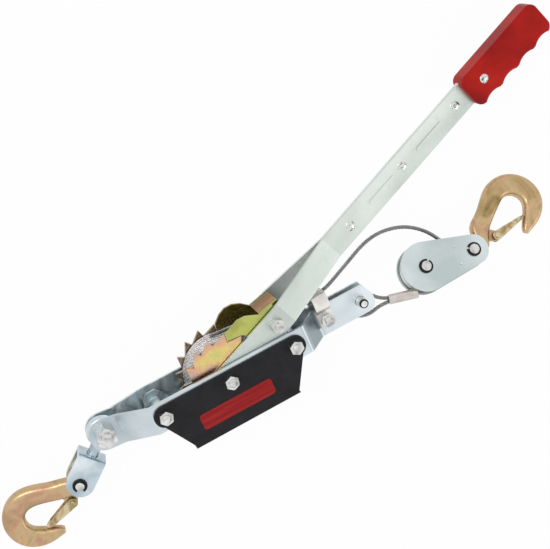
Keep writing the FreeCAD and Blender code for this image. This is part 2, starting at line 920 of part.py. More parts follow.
# ---------------------------------------------------------------------------
# swivel eye and clevis: local X runs down the stem, local Y is the bowl's side
# ---------------------------------------------------------------------------
def swivel_frame():
    angle, droop, roll = [math.radians(v) for v in (swivel_angle, swivel_droop, clevis_roll)]
    down = V(math.cos(angle) * math.cos(droop), math.sin(angle) * math.cos(droop), -math.sin(droop))
    level = V(math.sin(angle), -math.cos(angle), 0)
    across = down.cross(level)
    if across.z < 0:
        across = across * -1
    normal = across * math.cos(roll) + level * math.sin(roll)
    return Frame((-end_bolt_x, end_bolt_y, mid_z), tuple(down), tuple(normal))


swivel = swivel_frame()


def swivel_eye():
    ring = Part.makeTorus(eye_major, eye_bar_radius, V(0, 0, 0), V(0, 0, 1))
    inside = clevis_start + clevis_web + soft_gap
    shoulder = neck_end_radius + stem_shoulder_gap
    neck = Part.makeCylinder(stem_neck_radius, shoulder + 1 - eye_major, V(eye_major, 0, 0), V(1, 0, 0))
    stem = Part.makeCylinder(stem_radius, inside + 1 - shoulder, V(shoulder, 0, 0), V(1, 0, 0))
    head = Part.makeCylinder(stem_head_radius, stem_head, V(inside, 0, 0), V(1, 0, 0))
    clear = cylinder(0, 0, -far, far, eye_major - eye_bar_radius)
    return fused([ring, neck.cut(clear), stem, head])


def clevis():
    low, high = -clevis_outer_h, clevis_outer_h
    centre = clevis_pin_place - (clevis_half_width - clevis_nose)
    side = prism(
        [
            (clevis_start, -clevis_half_width),
            (centre, -clevis_half_width),
            (centre, clevis_half_width),
            (clevis_start, clevis_half_width),
        ],
        low, high,
    )
    block = fused([side, cylinder(centre, 0, low, high, clevis_half_width)])
    edges = [
        e for e in block.Edges
        if isinstance(e.Curve, Part.Line)
        and abs(e.CenterOfMass.x - clevis_start) < 1e-6
        and abs(abs(e.CenterOfMass.z) - high) < 1e-6
    ]
    block = block.makeFillet(clevis_bend_radius, edges)
    slot = Part.makeBox(
        far, 4 * clevis_half_width, clevis_gap,
        V(clevis_start + clevis_web, -2 * clevis_half_width, -clevis_gap / 2),
    )
    block = block.cut(slot)
    hole = Part.makeCylinder(
        stem_radius + stem_hole_gap, clevis_web + 2 * past, V(clevis_start - past, 0, 0), V(1, 0, 0)
    )
    block = block.cut(hole)
    return block.cut(cylinder(clevis_pin_place, 0, low - past, high + past, pin_radius + running_clearance))


def cross_pin(x, y, outer_h, end_radius):
    """A pin through both sides, with an end of its own radius outside each of them."""
    end = outer_h + pin_stick_out
    ends = cylinder(x, y, -end, end, end_radius)
    ends = ends.makeChamfer(pin_end_bevel, [e for e in ends.Edges if isinstance(e.Curve, Part.Circle)])
    return fused([cylinder(x, y, -outer_h, outer_h, pin_radius), ends])


def snap_ring(x, y, low, end_radius, opening, half_gap):
    """A flat retaining ring with a gap, round the pin's end."""
    ring = tube(x, y, low, low + clip_thickness, clip_outer, end_radius + seat_gap)
    corners = [polar(3 * clip_outer, opening + side * half_gap, (x, y)) for side in (-1, 1)]
    return ring.cut(prism([(x, y)] + corners, low - past, low + clip_thickness + past))


save("swivel_eye", swivel.put(swivel_eye()))
save("clevis", swivel.put(clevis()))
save("clevis_pin", swivel.put(cross_pin(clevis_pin_place, 0, clevis_outer_h, clevis_pin_end_radius)))
front_clip = snap_ring(clevis_pin_place, 0, clevis_outer_h, clevis_pin_end_radius, 25, clevis_clip_gap)
save("clevis_clips", [swivel.put(front_clip), swivel.put(mirrored(front_clip))])
print("axis swivel_eye %.6f %.6f %.6f 0 0 1" % (-end_bolt_x, end_bolt_y, mid_z))
swivel.tell("clevis_swivel", (0, 0, 0), (1, 0, 0))
swivel.tell("anchor_hook", (clevis_pin_place, 0, 0), (0, 0, 1))


# ---------------------------------------------------------------------------
# hooks: local X runs from the pin along the clevis or block, local Y to the bowl
# ---------------------------------------------------------------------------
def hook_stations(bowl):
    """The forging's centre line from eye to tip: (x, y, half width, half thickness)."""
    bx, by = bowl
    t = hook_half_thickness
    w = bowl_half_width
    out_x, out_y = polar(shank_bow, 143)
    shank = [
        (0.10, 0.08, 0.0, 0.84, 0.92),
        (0.282, 0.39, 0.6, 0.88, 0.95),
        (0.475, 0.88, 1.0, 0.86, 0.98),
    ]
    line = [
        (bx * along + out_x * bow, by * side + out_y * bow, w * wide, t * thick)
        for along, side, bow, wide, thick in shank
    ]
    arc = [
        (150, 1.03, 0.92, 1.0),
        (120, 1.0, 0.98, 1.0),
        (90, 1.0, 1.01, 1.0),
        (60, 1.0, 1.02, 1.0),
        (30, 1.0, 1.01, 1.0),
        (0, 0.99, 0.97, 1.0),
        (-30, 0.955, 0.88, 0.97),
        (-60, 1.02, 0.67, 0.88),
        (-77, 1.17, 0.44, 0.73),
        (-83, 1.31, 0.25, 0.48),
    ]
    for angle, reach, wide, thick in arc:
        x, y = polar(bowl_radius * reach, angle, bowl)
        line.append((x, y, w * wide, t * thick))
    return line


def forged_section(x, y, along, half_w, half_t):
    """A rounded section square to the centre line."""
    length = math.hypot(along[0], along[1])
    nx, ny = -along[1] / length, along[0] / length
    radius = 0.72 * min(half_w, half_t)
    flat_w, flat_t = half_w - radius, half_t - radius

    def at(across, up):
        return V(x + nx * across, y + ny * across, up)

    edges = []
    bulge = radius * math.sqrt(0.5)
    for a, b in ((1, 1), (-1, 1), (-1, -1), (1, -1)):
        c, d = a * flat_w, b * flat_t
        if a * b > 0:
            first, last = at(c + a * radius, d), at(c, d + b * radius)
        else:
            first, last = at(c, d + b * radius), at(c + a * radius, d)
        edges.append(Part.Arc(first, at(c + a * bulge, d + b * bulge), last).toShape())
        if a * b > 0:
            following = at(-c, d + b * radius)
        else:
            following = at(c + a * radius, -d)
        edges.append(Part.LineSegment(last, following).toShape())
    return Part.Wire(edges)


def hook(bowl, latch_pivot):
    line = hook_stations(bowl)
    sections = []
    for i, (x, y, half_w, half_t) in enumerate(line):
        before, after = line[max(i - 1, 0)], line[min(i + 1, len(line) - 1)]
        along = (after[0] - before[0], after[1] - before[1])
        sections.append(forged_section(x, y, along, half_w, half_t))
    body = Part.makeLoft(sections, True, False)
    eye = cylinder(0, 0, -hook_eye_half_thickness, hook_eye_half_thickness, hook_eye_radius)
    eye = eye.makeFillet(hook_eye_round, [e for e in eye.Edges if isinstance(e.Curve, Part.Circle)])
    px, py = bowl[0] + latch_pivot[0], bowl[1] + latch_pivot[1]
    root = (bowl[0] * 0.33, bowl[1] * 0.40)
    lug_t = latch_lug_half_thickness
    lug = link(root, (px, py), latch_lug_radius + 1.5, latch_lug_radius, -lug_t, lug_t)
    whole = fused([body, eye, lug])
    whole = whole.cut(cylinder(0, 0, -far, far, pin_radius + running_clearance))
    return whole.cut(cylinder(px, py, -far, far, latch_pin_radius))


def latch_frame(owner, bowl, latch_pivot):
    pivot = owner.at(bowl[0] + latch_pivot[0], bowl[1] + latch_pivot[1])
    reach = (latch_tip[0] - latch_pivot[0], latch_tip[1] - latch_pivot[1])
    along = owner.x * reach[0] + owner.y * reach[1]
    return Frame(tuple(pivot), tuple(along), tuple(owner.z))


def latch(length):
    """A sheet channel: two ears on the pin and a tongue that closes the throat."""
    half = latch_half_width
    inner = half - latch_sheet
    wall_end = (length - latch_wall_end, tongue_place)
    walls = link((0, 0), wall_end, latch_lug_radius, latch_wall_tip, -half, half)
    walls = walls.cut(Part.makeBox(2 * far, 2 * far, 2 * inner, V(-far, -far, -inner)))
    start = latch_lug_radius + latch_sheet
    tongue = Part.makeBox(length - start, latch_sheet, 2 * half, V(start, tongue_place, -half))
    uprights = [
        e for e in tongue.Edges
        if abs(e.CenterOfMass.x - length) < 1e-6 and abs(abs(e.CenterOfMass.z) - half) < 1e-6
    ]
    tongue = tongue.makeFillet(latch_tip_round, uprights)
    whole = fused([walls, tongue])
    return whole.cut(cylinder(0, 0, -far, far, latch_pin_radius + running_clearance))


def latch_pin():
    half = latch_half_width + soft_gap
    heads = [
        cylinder(0, 0, half, half + latch_pin_head, latch_pin_radius + latch_pin_head),
        cylinder(0, 0, -half - latch_pin_head, -half, latch_pin_radius + latch_pin_head),
    ]
    return fused([cylinder(0, 0, -half, half, latch_pin_radius)] + heads)


def latch_spring():
    """Two wire coils beside the lug and a leg that lies on the tongue."""
    lowest = latch_lug_half_thickness + soft_gap + latch_wire
    coil = tongue_place + latch_sheet + latch_wire + 0.05
    heights = (lowest, lowest + 1.9 * latch_wire)
    shapes = [Part.makeTorus(coil, latch_wire, V(0, 0, h), V(0, 0, 1)) for h in heights]
    between = lowest + 0.95 * latch_wire
    shapes.append(Part.makeCylinder(0.9 * latch_wire, spring_leg, V(0, coil, between), V(1, 0, 0)))
    return fused(shapes)


def save_hook(name, owner, bowl, latch_pivot):
    short = name.split("_")[0]
    save(name, owner.put(hook(bowl, latch_pivot)))
    lever = latch_frame(owner, bowl, latch_pivot)
    length = math.hypot(latch_tip[0] - latch_pivot[0], latch_tip[1] - latch_pivot[1])
    save(short + "_latch", lever.put(latch(length)))
    save(short + "_latch_pin", lever.put(latch_pin()))
    save(short + "_latch_spring", lever.put(latch_spring()))
    lever.tell(short + "_latch", (0, 0, 0), (0, 0, 1))


anchor_side = Frame(
    tuple(swivel.at(clevis_pin_place, 0)), tuple(swivel.x), tuple(swivel.z * -1)
)
save_hook("anchor_hook", anchor_side, anchor_bowl, anchor_latch_pivot)


# ---------------------------------------------------------------------------
# pulley block: local X runs from the sheave's pin to the hook's pin
# ---------------------------------------------------------------------------
def block_frame(along=0.0):
    angle, roll = math.radians(block_angle), math.radians(block_roll)
    x_dir = V(math.cos(angle), math.sin(angle), 0)
    level = V(-math.sin(angle), math.cos(angle), 0)
    normal = level * math.sin(roll) + V(0, 0, math.cos(roll))
    origin = V(block_x, block_y, mid_z + block_h) + x_dir * along
    return Frame(tuple(origin), tuple(x_dir), tuple(normal))


block = block_frame()


def block_plate_solid():
    low, high = block_gap / 2, block_outer_h
    plate = link((0, 0), (block_length, 0), block_big_radius, block_small_radius, low, high)
    for x in (0, block_length):
        plate = plate.cut(cylinder(x, 0, low - past, high + past, pin_radius + running_clearance))
    for y in (dimple_side, -dimple_side):
        ball = Part.makeSphere(dimple_radius, V(dimple_place, y, high + dimple_radius - dimple_depth))
        plate = plate.cut(ball)
    return plate


def sheave():
    """A wheel with a round groove for the cable."""
    wheel = cylinder(0, 0, -sheave_half_width, sheave_half_width, sheave_radius)
    groove_middle = sheave_groove_radius + sheave_groove_round
    wheel = wheel.cut(Part.makeTorus(groove_middle, sheave_groove_round, V(0, 0, 0), V(0, 0, 1)))
    return wheel.cut(cylinder(0, 0, -far, far, pin_radius + running_clearance))


save("block_front_plate", block.put(block_plate_solid()))
save("block_rear_plate", block.put(mirrored(block_plate_solid())))
save("sheave", block.put(sheave()))
save("sheave_pin", block.put(cross_pin(0, 0, block_outer_h, pin_radius)))
save("hook_pin", block.put(cross_pin(block_length, 0, block_outer_h, pin_radius)))
block_clips = []
for x, opening in ((0, 50), (block_length, 150)):
    ring = snap_ring(x, 0, block_outer_h, pin_radius, opening, block_clip_gap)
    block_clips += [block.put(ring), block.put(mirrored(ring))]
save("block_clips", block_clips)
load_side = block_frame(block_length)
save_hook("load_hook", load_side, load_bowl, load_latch_pivot)
block.tell("sheave_spin", (0, 0, 0), (0, 0, 1))
load_side.tell("load_hook", (0, 0, 0), (0, 0, 1))


# ---------------------------------------------------------------------------
# cable, ferrule and the eye on the anchor pin: (x, y, h) of each route point
# ---------------------------------------------------------------------------
cable_route = [
    (3.8, 40.6, 0.0),
    (62.0, 35.2, 0.0),
    (119.5, 22.4, 0.0),
    (157.0, 37.5, -2.5),
    (195.0, 52.0, -7.0),
    (229.0, 46.0, -10.5),
    (255.2, 26.1, -16.8),
    (267.9, 4.4, -6.5),
    (266.1, -13.2, 2.9),
    (252.1, -24.8, 10.1),
    (235.6, -26.1, 12.2),
    (224.7, -23.0, 13.5),
    (215.1, -21.1, 11.3),
]
eye_route = [
    (185.8, -13.1, 4.5),
    (176.5, -9.8, 2.2),
    (166.5, 4.5, 0.4),
    (154.5, 11.5, 0.0),
    (144.0, 5.0, 0.0),
    (143.0, -8.0, 0.0),
    (150.5, -18.0, 0.0),
    (163.0, -21.0, 0.4),
    (174.8, -17.0, 2.1),
    (185.0, -17.1, 4.5),
]
ferrule_start = cable_route[-1]
ferrule_axis = V(*ferrule_end) - V(*ferrule_start)
ferrule_length = ferrule_axis.Length
ferrule_frame = Frame(ferrule_start, tuple(ferrule_axis), (0, 0, 1))


def ferrule():
    """An oval sleeve, pressed on the cable's two parts."""
    r = ferrule_half_thickness
    flat = ferrule_half_width - r
    box = prism([(-r, -flat), (r, -flat), (r, flat), (-r, flat)], 0, ferrule_length)
    oval = fused([box] + [cylinder(0, y, 0, ferrule_length, r) for y in (-flat, flat)])
    rims = [
        e for e in oval.Edges
        if min(abs(e.CenterOfMass.z), abs(e.CenterOfMass.z - ferrule_length)) < 1e-6
    ]
    oval = oval.makeChamfer(ferrule_bevel, rims)
    # local Z becomes the axis, local Y stays to the side
    lying = Frame((0, 0, 0), (0, 0, -1), (1, 0, 0)).put(oval)
    return ferrule_frame.put(lying)


save("cable", world.put(round_tube("cable", cable_route, cable_radius)))
save("cable_eye", world.put(round_tube("cable_eye", eye_route, cable_radius)))
save("ferrule", world.put(ferrule()))
print("mid height %.4f, nodes %d" % (mid_z, len(nodes)))
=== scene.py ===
import json
import math

import bpy
from mathutils import Matrix, Vector


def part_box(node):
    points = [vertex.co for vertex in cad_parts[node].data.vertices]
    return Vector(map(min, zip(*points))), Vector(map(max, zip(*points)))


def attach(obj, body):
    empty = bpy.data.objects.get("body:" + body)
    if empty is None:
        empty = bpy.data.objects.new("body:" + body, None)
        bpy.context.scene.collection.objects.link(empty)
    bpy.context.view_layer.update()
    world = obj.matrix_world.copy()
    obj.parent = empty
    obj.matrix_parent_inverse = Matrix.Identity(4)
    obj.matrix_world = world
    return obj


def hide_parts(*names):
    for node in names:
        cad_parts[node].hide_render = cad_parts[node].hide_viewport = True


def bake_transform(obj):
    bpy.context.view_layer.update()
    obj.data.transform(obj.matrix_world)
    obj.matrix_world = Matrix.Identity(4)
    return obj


# Dresses the hand cable puller: camera, materials, stranded cables and light.
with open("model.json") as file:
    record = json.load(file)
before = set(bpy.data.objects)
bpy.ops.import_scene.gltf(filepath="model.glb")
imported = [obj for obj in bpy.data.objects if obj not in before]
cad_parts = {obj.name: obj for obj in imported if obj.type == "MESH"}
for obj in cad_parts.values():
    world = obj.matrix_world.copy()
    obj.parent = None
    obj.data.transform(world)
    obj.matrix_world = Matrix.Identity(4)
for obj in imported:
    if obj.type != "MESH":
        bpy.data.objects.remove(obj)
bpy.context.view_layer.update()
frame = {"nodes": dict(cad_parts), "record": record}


def middle(node):
    low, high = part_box(node)
    return (Vector(low) + Vector(high)) / 2


MID = middle("frame_spacers").z
CABLE_RADIUS = 0.002

# ---------------------------------------------------------------------------
# camera
# ---------------------------------------------------------------------------
VIEW_RIGHT = Vector((0.8712, -0.3839, 0.3060))
VIEW_UP = Vector((0.4612, 0.8536, -0.2420))
VIEW_DISTANCE = 1.3
VIEW_CENTRE = (0.0522, 0.0973)  # along the picture's right and up, from the drum's middle
PICTURE_WIDTH = 0.55  # what the picture takes in at the object
SENSOR_WIDTH = 36
FARTHEST_SEEN = 20


def add_camera():
    right = VIEW_RIGHT.normalized()
    back = right.cross(VIEW_UP).normalized()
    up = back.cross(right)
    data = bpy.data.cameras.new("camera")
    data.sensor_fit = "HORIZONTAL"
    data.sensor_width = SENSOR_WIDTH
    data.lens = data.sensor_width * VIEW_DISTANCE / PICTURE_WIDTH
    data.clip_end = FARTHEST_SEEN
    camera = bpy.data.objects.new("camera", data)
    bpy.context.scene.collection.objects.link(camera)
    turn = Matrix((right, up, back)).transposed().to_4x4()
    place = right * VIEW_CENTRE[0] + up * VIEW_CENTRE[1] + back * VIEW_DISTANCE
    turn.translation = place + Vector((0, 0, MID))
    camera.matrix_world = turn
    bpy.context.scene.camera = camera


add_camera()


# ---------------------------------------------------------------------------
# materials: object coordinates are metres in the row's frame
# ---------------------------------------------------------------------------
def tint(red, green, blue):
    """A colour from 0 to 255 a channel, as the shaders take it."""
    return tuple(((v / 255 + 0.055) / 1.055) ** 2.4 for v in (red, green, blue))


class Surface:
    """A material with a few short words for its nodes."""

    def __init__(self, name, metallic, roughness, specular=0.5):
        self.material = bpy.data.materials.new(name)
        self.material.use_nodes = True
        self.tree = self.material.node_tree
        self.shader = self.tree.nodes["Principled BSDF"]
        self.shader.inputs["Metallic"].default_value = metallic
        self.shader.inputs["Roughness"].default_value = roughness
        self.shader.inputs["Specular IOR Level"].default_value = specular
        self.place = self.tree.nodes.new("ShaderNodeTexCoord").outputs["Object"]

    def node(self, kind, constants):
        """A new node with the constants of some of its sockets."""
        node = self.tree.nodes.new(kind)
        for socket, value in constants.items():
            node.inputs[socket].default_value = value
        return node

    def wire(self, source, socket):
        """Gives a socket a number, a colour or another node's output."""
        if isinstance(source, (int, float)):
            socket.default_value = source
        elif isinstance(source, tuple):
            socket.default_value = source + (1,)
        else:
            self.tree.links.new(source, socket)

    def stretched(self, scale, turn=0):
        """The place turned about Z and then scaled, to draw a texture out in one direction."""
        turned = self.node("ShaderNodeMapping", {"Rotation": (0, 0, math.radians(turn))})
        self.wire(self.place, turned.inputs["Vector"])
        drawn = self.node("ShaderNodeMapping", {"Scale": scale})
        self.wire(turned.outputs["Vector"], drawn.inputs["Vector"])
        return drawn.outputs["Vector"]

    def reach(self, centre, scale):
        """The distance from a centre, with each axis scaled."""
        source = self.place
        for operation, constants in (("SUBTRACT", {1: centre}), ("MULTIPLY", {1: scale}), ("LENGTH", {})):
            node = self.node("ShaderNodeVectorMath", constants)
            node.operation = operation
            self.wire(source, node.inputs[0])
            source = node.outputs[0]
        return node.outputs["Value"]

    def along(self, axis, low, high):
        """0 to 1 between two places on X, Y or Z."""
        parts = self.tree.nodes.new("ShaderNodeSeparateXYZ")
        self.wire(self.place, parts.inputs[0])
        node = self.node("ShaderNodeMapRange", {"From Min": low, "From Max": high})
        self.wire(parts.outputs[axis], node.inputs["Value"])
        return node.outputs["Result"]

    def noise(self, scale, detail=3.0, rough=0.55, place=None, distortion=0.0):
        node = self.node("ShaderNodeTexNoise", {
            "Scale": scale, "Detail": detail, "Roughness": rough, "Distortion": distortion,
        })
        self.wire(place or self.place, node.inputs["Vector"])
        return node.outputs["Fac"]

    def ramp(self, factor, stops):
        node = self.tree.nodes.new("ShaderNodeValToRGB")
        ramp = node.color_ramp
        while len(ramp.elements) < len(stops):
            ramp.elements.new(0.5)
        for element, (position, colour) in zip(ramp.elements, stops):
            element.position = position
            element.color = colour + (1,)
        self.wire(factor, node.inputs["Fac"])
        return node.outputs["Color"]

    def between(self, factor, low, high, start=0.3, end=0.7):
        """Maps start to end onto low to high."""
        node = self.node("ShaderNodeMapRange", {
            "From Min": start, "From Max": end, "To Min": low, "To Max": high,
        })
        self.wire(factor, node.inputs["Value"])
        return node.outputs["Result"]

    def mix(self, factor, first, second):
        node = self.tree.nodes.new("ShaderNodeMix")
        node.data_type = "RGBA"
        self.wire(factor, node.inputs[0])
        self.wire(first, node.inputs[6])
        self.wire(second, node.inputs[7])
        return node.outputs[2]

    def sum(self, first, second, share=1.0):
        """The first and a share of the second."""
        node = self.node("ShaderNodeMath", {1: share})
        node.operation = "MULTIPLY_ADD"
        self.wire(second, node.inputs[0])
        self.wire(first, node.inputs[2])
        return node.outputs[0]

    def colour(self, source):
        self.wire(source, self.shader.inputs["Base Color"])
        return self

    def roughness(self, source):
        self.wire(source, self.shader.inputs["Roughness"])
        return self

    def bump(self, height, distance, strength=1.0):
        node = self.node("ShaderNodeBump", {"Strength": strength, "Distance": distance})
        self.wire(height, node.inputs["Height"])
        self.wire(node.outputs["Normal"], self.shader.inputs["Normal"])
        return self


def shade(colour, share):
    """The same colour, darker."""
    return tuple(value * share for value in colour)


def zinc(
    name, dark, plain, light, size, roughness, stretch=(1, 1, 1), turn=0, swirl=0.4, bend=None
):
    """Bright zinc on rolled steel: wide soft tones, a fine grain and small scuffs, with painted shade over a
    bend.
    """
    s = Surface(name, 1.0, roughness)
    cloud = s.noise(size, 2.2, 0.5, s.stretched(stretch, turn), swirl)
    fine = s.noise(800, 3, 0.6)
    scuffs = s.noise(150, 4, 0.7)
    tone = s.ramp(cloud, [(0.32, dark), (0.50, plain), (0.68, light)])
    tone = s.mix(s.between(scuffs, 0.0, 0.16, 0.55, 0.75), tone, shade(dark, 0.55))
    # painted shade: across the bend's span along X the tone is mixed toward a darker zinc
    if bend:
        off, on = (0, 0, 0), (1, 1, 1)
        painted_bend_shade = s.ramp(s.along(0, *bend), [(0.0, off), (0.3, on), (0.7, on), (1.0, off)])
        tone = s.mix(painted_bend_shade, tone, shade(dark, 0.72))
    s.colour(s.mix(s.between(fine, 0.0, 0.12), tone, shade(dark, 0.75)))
    s.roughness(s.between(s.sum(cloud, fine, 0.3), roughness - 0.08, roughness + 0.12, 0.4, 0.9))
    s.bump(s.sum(fine, scuffs, 1.2), 0.00009, 0.5)
    return s.material


def chromate(name, stops, size, roughness, swirl=1.1):
    """Yellow chromate: slow drifts of colour over a metal, with small dark pits."""
    s = Surface(name, 1.0, roughness)
    drift = s.noise(size, 2.5, 0.5, None, swirl)
    fine = s.noise(420, 4, 0.65)
    pits = s.noise(260, 4, 0.7)
    tone = s.ramp(s.sum(drift, fine, 0.10), stops)
    darkest = stops[0][1]
    s.colour(s.mix(s.between(pits, 0.0, 0.35, 0.60, 0.78), tone, shade(darkest, 0.4)))
    s.roughness(s.between(fine, roughness - 0.08, roughness + 0.14))
    s.bump(s.sum(fine, s.noise(140, 3), 1.0), 0.00016, 0.6)
    return s.material


SWEEP_CENTRE = (0.0015, 0.0265, 0.0)  # where the front wheel's colours start, from the drum's axle
SWEEP_SHAPE = (0.32, 1.0, 0.0)  # how fast they change along each axis
SWEEP_LENGTH = 0.036


def front_wheel(name):
    """A sweep from green-yellow through orange and pink to silver."""
    s = Surface(name, 1.0, 0.27)
    drift = s.noise(70, 2, 0.5)
    fine = s.noise(420, 4, 0.65)
    away = s.reach(SWEEP_CENTRE, SWEEP_SHAPE)
    sweep = s.sum(s.between(away, 0.0, 1.0, 0.0, SWEEP_LENGTH), s.between(drift, -0.08, 0.08))
    tone = s.ramp(sweep, [
        (0.00, tint(204, 206, 122)),
        (0.13, tint(230, 208, 132)),
        (0.24, tint(228, 184, 142)),
        (0.36, tint(216, 172, 156)),
        (0.50, tint(192, 184, 170)),
        (0.66, tint(148, 112, 62)),
        (0.82, tint(196, 166, 84)),
        (1.00, tint(120, 96, 48)),
    ])
    s.colour(s.mix(s.between(fine, 0.0, 0.18), tone, tint(120, 92, 52)))
    s.roughness(s.between(fine, 0.20, 0.38))
    s.bump(s.sum(fine, drift, 0.6), 0.00012, 0.6)
    return s.material


PAWL_HALF_DEPTH = 0.020


def pawl_metal(name):
    """Dark olive behind, brown over the web and yellow-green on the front cheek."""
    s = Surface(name, 1.0, 0.28)
    drift = s.noise(55, 2.5, 0.5, None, 0.8)
    fine = s.noise(420, 4, 0.65)
    depth = s.along(2, MID - PAWL_HALF_DEPTH, MID + PAWL_HALF_DEPTH)
    depth = s.sum(depth, s.between(drift, -0.05, 0.05))
    tone = s.ramp(depth, [
        (0.05, tint(140, 126, 72)),
        (0.20, tint(124, 96, 48)),
        (0.45, tint(140, 98, 54)),
        (0.66, tint(172, 122, 74)),
        (0.80, tint(140, 124, 64)),
        (0.88, tint(176, 178, 92)),
        (1.00, tint(184, 188, 104)),
    ])
    s.colour(s.mix(s.between(drift, 0.0, 0.35, 0.5, 0.75), tone, tint(96, 84, 36)))
    s.roughness(s.between(fine, 0.22, 0.4))
    s.bump(s.sum(fine, drift, 0.6), 0.00014, 0.6)
    return s.material


def painted_black(name):
    s = Surface(name, 0.0, 0.45, 0.16)
    peel = s.noise(420, 2, 0.5)
    dust = s.noise(60, 4, 0.7)
    s.colour(s.ramp(dust, [(0.35, tint(28, 28, 30)), (0.75, tint(42, 42, 45))]))
    s.roughness(s.between(dust, 0.38, 0.55))
    s.bump(peel, 0.00006, 0.5)
    return s.material


def label_red(name):
    s = Surface(name, 0.0, 0.4, 0.16)
    streaks = s.noise(60, 4, 0.65, s.stretched((0.25, 6.0, 1)))
    grain = s.noise(500, 3, 0.6)
    s.colour(s.ramp(streaks, [
        (0.32, tint(140, 24, 26)),
        (0.52, tint(158, 32, 33)),
        (0.72, tint(176, 48, 46)),
    ]))
    s.roughness(s.between(grain, 0.34, 0.5))
    s.bump(s.sum(streaks, grain, 0.5), 0.00005, 0.5)
    return s.material


def vinyl_red(name):
    s = Surface(name, 0.0, 0.4, 0.1)
    skin = s.noise(650, 3, 0.55)
    wear = s.noise(26, 3, 0.5)
    s.colour(s.ramp(wear, [
        (0.32, tint(150, 22, 18)),
        (0.50, tint(178, 26, 20)),
        (0.70, tint(196, 36, 26)),
    ]))
    s.roughness(s.between(skin, 0.28, 0.42))
    s.bump(s.sum(skin, wear, 1.5), 0.00010, 0.5)
    s.shader.inputs["Coat Weight"].default_value = 0.05
    s.shader.inputs["Coat Roughness"].default_value = 0.2
    return s.material


def wire_steel(name, dark, light):
    s = Surface(name, 1.0, 0.34)
    fine = s.noise(1500, 2, 0.5)
    patches = s.noise(130, 2, 0.5)
    tone = s.ramp(fine, [(0.3, dark), (0.7, light)])
    s.colour(s.mix(s.between(patches, 0.0, 0.35), tone, shade(dark, 0.6)))
    s.roughness(s.between(fine, 0.26, 0.44))
    s.bump(fine, 0.00005, 0.5)
    return s.material


def pressed_aluminium(name):
    s = Surface(name, 1.0, 0.42)
    fine = s.noise(520, 3, 0.6)
    dents = s.noise(110, 2, 0.5)
    s.colour(s.ramp(dents, [(0.3, tint(186, 178, 174)), (0.7, tint(216, 208, 202))]))
    s.roughness(s.between(fine, 0.34, 0.52))
    s.bump(s.sum(dents, fine, 0.3), 0.00028, 0.7)
    return s.material


def rivet_chrome(name):
    """Bright domes with painted dark, broken reflections of a polished head."""
    s = Surface(name, 1.0, 0.2)
    streaks = s.noise(240, 3, 0.6, None, 1.6)
    fine = s.noise(900, 3)
    # the dark stops are painted reflections, laid in streaks by the noise
    s.colour(s.ramp(streaks, [
        (0.36, tint(72, 76, 72)),
        (0.45, tint(206, 210, 204)),
        (0.56, tint(232, 234, 230)),
        (0.62, tint(104, 110, 106)),
        (0.72, tint(214, 216, 212)),
    ]))
    s.roughness(s.between(fine, 0.14, 0.3))
    s.bump(s.sum(streaks, fine, 0.3), 0.00016, 0.6)
    return s.material


def black_oxide(name):
    s = Surface(name, 0.0, 0.4, 0.2)
    fine = s.noise(700, 3)
    s.colour(s.ramp(fine, [(0.3, tint(16, 16, 16)), (0.7, tint(34, 34, 34))]))
    s.roughness(s.between(fine, 0.32, 0.5))
    s.bump(fine, 0.00004, 0.5)
    return s.material


HOOK_TONES = [
    (0.26, tint(124, 102, 64)),
    (0.40, tint(178, 152, 108)),
    (0.52, tint(200, 172, 132)),
    (0.64, tint(190, 150, 122)),
    (0.80, tint(152, 148, 98)),
]
REAR_WHEEL_TONES = [
    (0.28, tint(104, 90, 58)),
    (0.44, tint(156, 144, 112)),
    (0.56, tint(178, 164, 140)),
    (0.70, tint(144, 116, 90)),
    (0.84, tint(122, 116, 74)),
]
LATCH_TONES = [
    (0.28, tint(126, 104, 56)),
    (0.44, tint(178, 154, 112)),
    (0.56, tint(214, 196, 164)),
    (0.70, tint(150, 138, 88)),
    (0.84, tint(206, 190, 150)),
]
HANDLE_TURN = -22.5
ALONG_HANDLE = {"stretch": (0.45, 1, 1), "turn": HANDLE_TURN}
RIGHT_BEND = (0.084, 0.112)  # where the side plates bend in to the right neck; the zinc is painted darker there as shade

# dark, plain and light tone, the tones' scale, roughness, and what differs from plain sheet
ZINCS = {
    "side_plate_zinc": (
        tint(176, 188, 194), tint(204, 214, 219), tint(226, 233, 236), 16, 0.32,
        {"stretch": (0.6, 1, 1), "bend": RIGHT_BEND},
    ),
    "strap_zinc": (tint(172, 181, 173), tint(197, 205, 199), tint(216, 222, 217), 16, 0.38, ALONG_HANDLE),
    # the rear strap: the strap zinc made lighter, as painted light for the reflections on its inner face
    "rear_strap_lit_zinc": (tint(196, 206, 204), tint(226, 232, 231), tint(244, 247, 246), 22, 0.5, ALONG_HANDLE),
    "clevis_zinc": (tint(168, 184, 194), tint(204, 216, 224), tint(226, 234, 240), 30, 0.3, {}),
    "block_zinc": (tint(188, 199, 200), tint(204, 213, 214), tint(216, 224, 226), 22, 0.38, {}),
    "sheave_zinc": (tint(120, 122, 120), tint(160, 162, 158), tint(190, 192, 188), 40, 0.4, {}),
    "bracket_zinc": (tint(192, 190, 184), tint(214, 211, 206), tint(232, 229, 225), 40, 0.36, {}),
    "bright_fasteners": (
        tint(172, 172, 172), tint(212, 212, 210), tint(238, 238, 236), 90, 0.24, {"swirl": 0.8},
    ),
    # inner faces, spacers and holding pawl: the plate zinc made lighter, with high-contrast swirls as painted
    # reflections
    "inner_lit_zinc": (
        tint(150, 168, 174), tint(200, 212, 216), tint(236, 241, 243), 26, 0.46, {"swirl": 2.6},
    ),
}
SINGLE_FINISHES = {
    "yellow_chromate": front_wheel,
    "pawl_chromate": pawl_metal,
    "black_guard": painted_black,
    "red_label": label_red,
    "red_grip": vinyl_red,
    "ferrule_aluminium": pressed_aluminium,
    "rivet_chrome": rivet_chrome,
    "black_clips": black_oxide,
}
